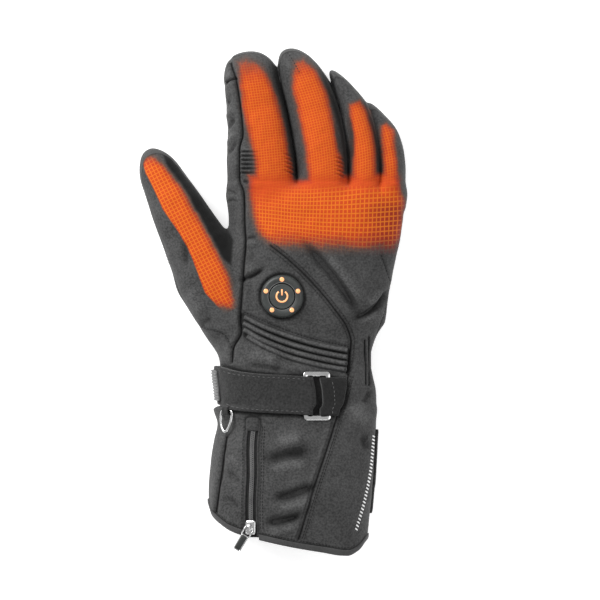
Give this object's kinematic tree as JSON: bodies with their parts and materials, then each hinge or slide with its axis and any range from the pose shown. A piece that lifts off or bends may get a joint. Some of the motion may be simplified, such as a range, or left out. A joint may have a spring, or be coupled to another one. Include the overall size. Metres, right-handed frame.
{
  "type": "heated glove",
  "caption": "Padded heated winter glove for the right hand with a power button, a wrist strap through a metal ring and a flared zipped cuff.",
  "frame": {"origin": "middle of the glove's footprint, on the surface that its palm rests on", "axes": "+Y from the hem to the fingertips, +Z out of the back of the hand, +X away from the thumb"},
  "size_m": [0.1746, 0.332, 0.0699],
  "materials": {
    "cloth": "charcoal softshell",
    "palm_cloth": "grained synthetic leather",
    "webbing": "woven black webbing",
    "steel": "polished",
    "rubber": "moulded",
    "lamp": "lit amber lens"
  },
  "bodies": {
    "glove": {"hand_back": "cloth", "index_finger": "cloth", "middle_finger": "cloth", "ring_finger": "cloth", "little_finger": "cloth", "thumb": "cloth", "cuff_back": "cloth", "zip_garage": "cloth", "side_flap": "cloth", "palm": "palm_cloth", "cuff_palm": "palm_cloth", "hem_binding": "webbing", "zip_tape": "webbing", "zip_coil": "webbing", "wrist_strap": "webbing", "strap_anchor": "webbing", "clip_loop": "webbing", "zip_slider": "steel", "strap_ring": "steel", "clip_ring": "steel", "strap_end_tab": "rubber", "button_base": "rubber", "button_light_1": "lamp", "button_light_2": "lamp", "button_light_3": "lamp", "button_light_4": "lamp", "button_light_5": "lamp"},
    "pull": {"zip_pull": "steel"},
    "button": {"button_cap": "rubber"}
  },
  "joints": [
    {"name": "zip_pull_swing", "type": "hinge", "parent": "glove", "child": "pull", "pos_m": [-0.01426, -0.147, 0.06784], "axis": [-0.8326, 0.515, -0.2037], "range_deg": [0, 160]},
    {"name": "power_button_press", "type": "slide", "parent": "glove", "child": "button", "axis": [0.0456, -0.0017, -0.999], "range_m": [0, 0.0008], "stiffness_N_per_m": 1250}
  ]
}
